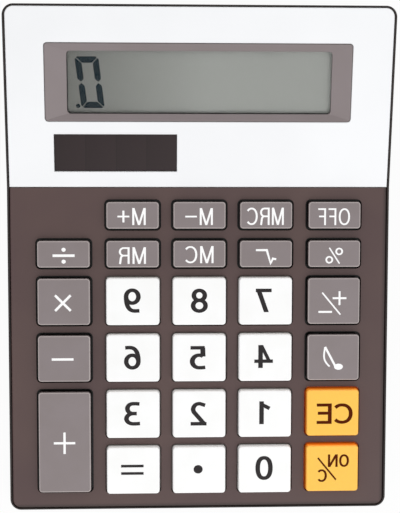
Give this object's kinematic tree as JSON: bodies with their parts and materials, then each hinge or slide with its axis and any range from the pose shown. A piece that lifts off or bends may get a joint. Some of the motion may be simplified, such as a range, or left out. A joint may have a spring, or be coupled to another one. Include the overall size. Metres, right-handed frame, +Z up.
{
  "type": "desk calculator",
  "caption": "Desk calculator with a sloping key deck, travelling keys, a sunken display, a solar cell and a sliding battery door.",
  "frame": {"origin": "on the table, under the middle of the body's bounding box", "axes": "+X to the right as the user sees it, +Y to the back, along the body's length, +Z up"},
  "size_m": [0.1264, 0.165, 0.0367],
  "materials": {
    "case_charcoal": "fine spark-eroded texture, moulded ABS",
    "deck_brown": "smooth satin, moulded ABS",
    "cover_white": "smooth semi-gloss, moulded ABS",
    "bezel_grey": "satin, moulded ABS",
    "key_grey": "satin, moulded ABS",
    "key_white": "satin, moulded ABS",
    "key_orange": "satin, slightly translucent moulded ABS",
    "window_clear": "clear acrylic, polished",
    "lcd_glass": "polished glass",
    "lcd_film": "grey-green polarising film",
    "solar_dark": "dark amorphous silicon under glass",
    "holder_black": "moulded ABS",
    "silicone": "matt silicone",
    "board_green": "solder mask on paper laminate",
    "resin_black": "cured epoxy resin",
    "component_dark": "sleeved or lacquered component",
    "ribbon_amber": "thin polyester film",
    "brass": "rolled brass",
    "ceramic": "fired ceramic with silvering",
    "nickel": "nickel-plated spring steel",
    "cell_can": "printed shrink sleeve, plain",
    "lead_pvc": "PVC-insulated lead",
    "screw_steel": "zinc-plated steel",
    "feet_rubber": "matt rubber"
  },
  "bodies": {
    "case": {"lower_case": "case_charcoal", "upper_case": "case_charcoal", "key_deck": "deck_brown", "display_cover": "cover_white", "display_bezel": "bezel_grey", "display_window": "window_clear", "lcd_polariser": "lcd_film", "lcd_glass": "lcd_glass", "lcd_reflector": "lcd_film", "lcd_holder": "holder_black", "ribbon": "ribbon_amber", "solar_cell": "solar_dark", "rubber_keypad": "silicone", "main_board": "board_green", "chip_blob": "resin_black", "capacitor": "component_dark", "resistors": "component_dark", "diode": "component_dark", "buzzer_disc": "brass", "buzzer_ceramic": "ceramic", "battery_cell": "cell_can", "battery_spring": "nickel", "battery_plate": "nickel", "battery_leads": "lead_pvc", "solar_leads": "lead_pvc", "buzzer_leads": "lead_pvc", "board_screws": "screw_steel", "holder_screws": "screw_steel", "case_screws": "screw_steel", "rubber_feet": "feet_rubber"},
    "key_m_plus": {"key_m_plus": "key_grey"},
    "key_m_minus": {"key_m_minus": "key_grey"},
    "key_mrc": {"key_mrc": "key_grey"},
    "key_off": {"key_off": "key_grey"},
    "key_divide": {"key_divide": "key_grey"},
    "key_mr": {"key_mr": "key_grey"},
    "key_mc": {"key_mc": "key_grey"},
    "key_root": {"key_root": "key_grey"},
    "key_percent": {"key_percent": "key_grey"},
    "key_times": {"key_times": "key_grey"},
    "key_9": {"key_9": "key_white"},
    "key_8": {"key_8": "key_white"},
    "key_7": {"key_7": "key_white"},
    "key_sign": {"key_sign": "key_grey"},
    "key_minus": {"key_minus": "key_grey"},
    "key_6": {"key_6": "key_white"},
    "key_5": {"key_5": "key_white"},
    "key_4": {"key_4": "key_white"},
    "key_sound": {"key_sound": "key_grey"},
    "key_plus": {"key_plus": "key_grey"},
    "key_3": {"key_3": "key_white"},
    "key_2": {"key_2": "key_white"},
    "key_1": {"key_1": "key_white"},
    "key_ce": {"key_ce": "key_orange"},
    "key_equals": {"key_equals": "key_white"},
    "key_point": {"key_point": "key_white"},
    "key_0": {"key_0": "key_white"},
    "key_on_c": {"key_on_c": "key_orange"},
    "battery_door": {"battery_door": "case_charcoal"}
  },
  "joints": [
    {"name": "press_m_plus", "type": "slide", "parent": "case", "child": "key_m_plus", "axis": [0, 0.0872, -0.9962], "range_m": [0, 0.0015], "stiffness_N_per_m": 400, "springref_m": -0.0008, "deforming": ["rubber_keypad"]},
    {"name": "press_m_minus", "type": "slide", "parent": "case", "child": "key_m_minus", "axis": [0, 0.0872, -0.9962], "range_m": [0, 0.0015], "stiffness_N_per_m": 400, "springref_m": -0.0008, "deforming": ["rubber_keypad"]},
    {"name": "press_mrc", "type": "slide", "parent": "case", "child": "key_mrc", "axis": [0, 0.0872, -0.9962], "range_m": [0, 0.0015], "stiffness_N_per_m": 400, "springref_m": -0.0008, "deforming": ["rubber_keypad"]},
    {"name": "press_off", "type": "slide", "parent": "case", "child": "key_off", "axis": [0, 0.0872, -0.9962], "range_m": [0, 0.0015], "stiffness_N_per_m": 400, "springref_m": -0.0008, "deforming": ["rubber_keypad"]},
    {"name": "press_divide", "type": "slide", "parent": "case", "child": "key_divide", "axis": [0, 0.0872, -0.9962], "range_m": [0, 0.0015], "stiffness_N_per_m": 400, "springref_m": -0.0008, "deforming": ["rubber_keypad"]},
    {"name": "press_mr", "type": "slide", "parent": "case", "child": "key_mr", "axis": [0, 0.0872, -0.9962], "range_m": [0, 0.0015], "stiffness_N_per_m": 400, "springref_m": -0.0008, "deforming": ["rubber_keypad"]},
    {"name": "press_mc", "type": "slide", "parent": "case", "child": "key_mc", "axis": [0, 0.0872, -0.9962], "range_m": [0, 0.0015], "stiffness_N_per_m": 400, "springref_m": -0.0008, "deforming": ["rubber_keypad"]},
    {"name": "press_root", "type": "slide", "parent": "case", "child": "key_root", "axis": [0, 0.0872, -0.9962], "range_m": [0, 0.0015], "stiffness_N_per_m": 400, "springref_m": -0.0008, "deforming": ["rubber_keypad"]},
    {"name": "press_percent", "type": "slide", "parent": "case", "child": "key_percent", "axis": [0, 0.0872, -0.9962], "range_m": [0, 0.0015], "stiffness_N_per_m": 400, "springref_m": -0.0008, "deforming": ["rubber_keypad"]},
    {"name": "press_times", "type": "slide", "parent": "case", "child": "key_times", "axis": [0, 0.0872, -0.9962], "range_m": [0, 0.0015], "stiffness_N_per_m": 400, "springref_m": -0.0008, "deforming": ["rubber_keypad"]},
    {"name": "press_9", "type": "slide", "parent": "case", "child": "key_9", "axis": [0, 0.0872, -0.9962], "range_m": [0, 0.0015], "stiffness_N_per_m": 400, "springref_m": -0.0008, "deforming": ["rubber_keypad"]},
    {"name": "press_8", "type": "slide", "parent": "case", "child": "key_8", "axis": [0, 0.0872, -0.9962], "range_m": [0, 0.0015], "stiffness_N_per_m": 400, "springref_m": -0.0008, "deforming": ["rubber_keypad"]},
    {"name": "press_7", "type": "slide", "parent": "case", "child": "key_7", "axis": [0, 0.0872, -0.9962], "range_m": [0, 0.0015], "stiffness_N_per_m": 400, "springref_m": -0.0008, "deforming": ["rubber_keypad"]},
    {"name": "press_sign", "type": "slide", "parent": "case", "child": "key_sign", "axis": [0, 0.0872, -0.9962], "range_m": [0, 0.0015], "stiffness_N_per_m": 400, "springref_m": -0.0008, "deforming": ["rubber_keypad"]},
    {"name": "press_minus", "type": "slide", "parent": "case", "child": "key_minus", "axis": [0, 0.0872, -0.9962], "range_m": [0, 0.0015], "stiffness_N_per_m": 400, "springref_m": -0.0008, "deforming": ["rubber_keypad"]},
    {"name": "press_6", "type": "slide", "parent": "case", "child": "key_6", "axis": [0, 0.0872, -0.9962], "range_m": [0, 0.0015], "stiffness_N_per_m": 400, "springref_m": -0.0008, "deforming": ["rubber_keypad"]},
    {"name": "press_5", "type": "slide", "parent": "case", "child": "key_5", "axis": [0, 0.0872, -0.9962], "range_m": [0, 0.0015], "stiffness_N_per_m": 400, "springref_m": -0.0008, "deforming": ["rubber_keypad"]},
    {"name": "press_4", "type": "slide", "parent": "case", "child": "key_4", "axis": [0, 0.0872, -0.9962], "range_m": [0, 0.0015], "stiffness_N_per_m": 400, "springref_m": -0.0008, "deforming": ["rubber_keypad"]},
    {"name": "press_sound", "type": "slide", "parent": "case", "child": "key_sound", "axis": [0, 0.0872, -0.9962], "range_m": [0, 0.0015], "stiffness_N_per_m": 400, "springref_m": -0.0008, "deforming": ["rubber_keypad"]},
    {"name": "press_plus", "type": "slide", "parent": "case", "child": "key_plus", "axis": [0, 0.0872, -0.9962], "range_m": [0, 0.0015], "stiffness_N_per_m": 400, "springref_m": -0.0008, "deforming": ["rubber_keypad"]},
    {"name": "press_3", "type": "slide", "parent": "case", "child": "key_3", "axis": [0, 0.0872, -0.9962], "range_m": [0, 0.0015], "stiffness_N_per_m": 400, "springref_m": -0.0008, "deforming": ["rubber_keypad"]},
    {"name": "press_2", "type": "slide", "parent": "case", "child": "key_2", "axis": [0, 0.0872, -0.9962], "range_m": [0, 0.0015], "stiffness_N_per_m": 400, "springref_m": -0.0008, "deforming": ["rubber_keypad"]},
    {"name": "press_1", "type": "slide", "parent": "case", "child": "key_1", "axis": [0, 0.0872, -0.9962], "range_m": [0, 0.0015], "stiffness_N_per_m": 400, "springref_m": -0.0008, "deforming": ["rubber_keypad"]},
    {"name": "press_ce", "type": "slide", "parent": "case", "child": "key_ce", "axis": [0, 0.0872, -0.9962], "range_m": [0, 0.0015], "stiffness_N_per_m": 400, "springref_m": -0.0008, "deforming": ["rubber_keypad"]},
    {"name": "press_equals", "type": "slide", "parent": "case", "child": "key_equals", "axis": [0, 0.0872, -0.9962], "range_m": [0, 0.0015], "stiffness_N_per_m": 400, "springref_m": -0.0008, "deforming": ["rubber_keypad"]},
    {"name": "press_point", "type": "slide", "parent": "case", "child": "key_point", "axis": [0, 0.0872, -0.9962], "range_m": [0, 0.0015], "stiffness_N_per_m": 400, "springref_m": -0.0008, "deforming": ["rubber_keypad"]},
    {"name": "press_0", "type": "slide", "parent": "case", "child": "key_0", "axis": [0, 0.0872, -0.9962], "range_m": [0, 0.0015], "stiffness_N_per_m": 400, "springref_m": -0.0008, "deforming": ["rubber_keypad"]},
    {"name": "press_on_c", "type": "slide", "parent": "case", "child": "key_on_c", "axis": [0, 0.0872, -0.9962], "range_m": [0, 0.0015], "stiffness_N_per_m": 400, "springref_m": -0.0008, "deforming": ["rubber_keypad"]},
    {"name": "door_slide", "type": "slide", "parent": "case", "child": "battery_door", "axis": [0, 1, 0], "range_m": [0, 0.022]}
  ]
}
